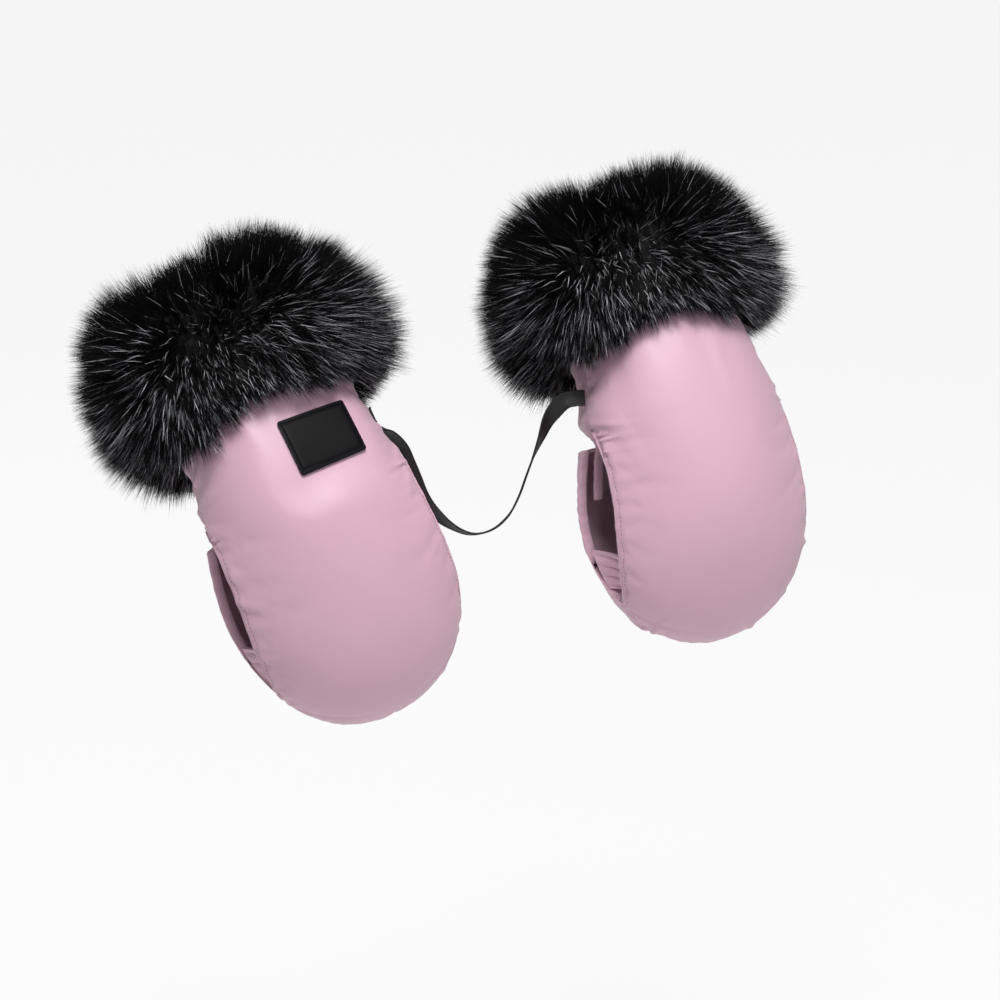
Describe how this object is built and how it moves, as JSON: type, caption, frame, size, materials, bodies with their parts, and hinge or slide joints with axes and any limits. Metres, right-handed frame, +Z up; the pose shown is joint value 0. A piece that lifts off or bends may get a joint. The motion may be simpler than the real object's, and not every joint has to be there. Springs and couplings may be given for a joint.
{
  "type": "stroller hand muff",
  "caption": "Pair of padded mitten muffs with faux-fur cuffs that hang over a stroller handlebar, joined by a flat strap; a stud-closed flap on each back lets it go round the bar.",
  "frame": {"origin": "on the handlebar's axis, midway between the two muffs", "axes": "+X along the handlebar to the right muff, +Y away from the front panels, +Z up"},
  "size_m": [0.4314, 0.1938, 0.283],
  "materials": {
    "satin": "smooth dusty pink satin with a soft sheen",
    "padding": "white polyester wadding",
    "lining": "short-pile charcoal fleece",
    "fur": "long-pile faux fur, near black with silver tips",
    "cuff_cloth": "knitted backing cloth, matt",
    "patch_rubber": "soft moulded rubber, satin",
    "stud_steel": "dark nickel press stud",
    "strap_webbing": "flat black woven elastic"
  },
  "bodies": {
    "muffs": {"left_front_shell": "satin", "left_front_padding": "padding", "left_front_lining": "lining", "left_back_shell": "satin", "left_back_padding": "padding", "left_back_lining": "satin", "left_lower_back_shell": "satin", "left_lower_back_padding": "padding", "left_lower_back_lining": "lining", "left_fur_cuff": "fur", "left_cuff_backing": "cuff_cloth", "left_cuff_facing": "lining", "left_inner_slot_hem": "satin", "left_inner_gusset": "satin", "left_inner_stud": "stud_steel", "left_inner_stud_rivet": "stud_steel", "left_outer_slot_hem": "satin", "left_outer_gusset": "satin", "left_outer_stud": "stud_steel", "left_outer_stud_rivet": "stud_steel", "right_front_shell": "satin", "right_front_padding": "padding", "right_front_lining": "lining", "right_back_shell": "satin", "right_back_padding": "padding", "right_back_lining": "satin", "right_lower_back_shell": "satin", "right_lower_back_padding": "padding", "right_lower_back_lining": "lining", "right_fur_cuff": "fur", "right_cuff_backing": "cuff_cloth", "right_cuff_facing": "lining", "right_inner_slot_hem": "satin", "right_inner_gusset": "satin", "right_inner_stud": "stud_steel", "right_inner_stud_rivet": "stud_steel", "right_outer_slot_hem": "satin", "right_outer_gusset": "satin", "right_outer_stud": "stud_steel", "right_outer_stud_rivet": "stud_steel", "left_rubber_patch": "patch_rubber", "connecting_strap": "strap_webbing"},
    "left_flap": {"left_flap_shell": "satin", "left_flap_padding": "padding", "left_flap_lining": "satin", "left_inner_stud_cap": "stud_steel", "left_inner_stud_socket": "stud_steel", "left_outer_stud_cap": "stud_steel", "left_outer_stud_socket": "stud_steel"},
    "right_flap": {"right_flap_shell": "satin", "right_flap_padding": "padding", "right_flap_lining": "satin", "right_inner_stud_cap": "stud_steel", "right_inner_stud_socket": "stud_steel", "right_outer_stud_cap": "stud_steel", "right_outer_stud_socket": "stud_steel"}
  },
  "joints": [
    {"name": "left_flap_fold", "type": "hinge", "parent": "muffs", "child": "left_flap", "pos_m": [-0.10113, 0.04556, -0.05538], "axis": [-0.9563, 0, -0.2924], "range_deg": [0, 115]},
    {"name": "right_flap_fold", "type": "hinge", "parent": "muffs", "child": "right_flap", "pos_m": [0.11214, 0.04556, -0.04328], "axis": [-0.9962, 0, -0.0872], "range_deg": [0, 115]}
  ]
}
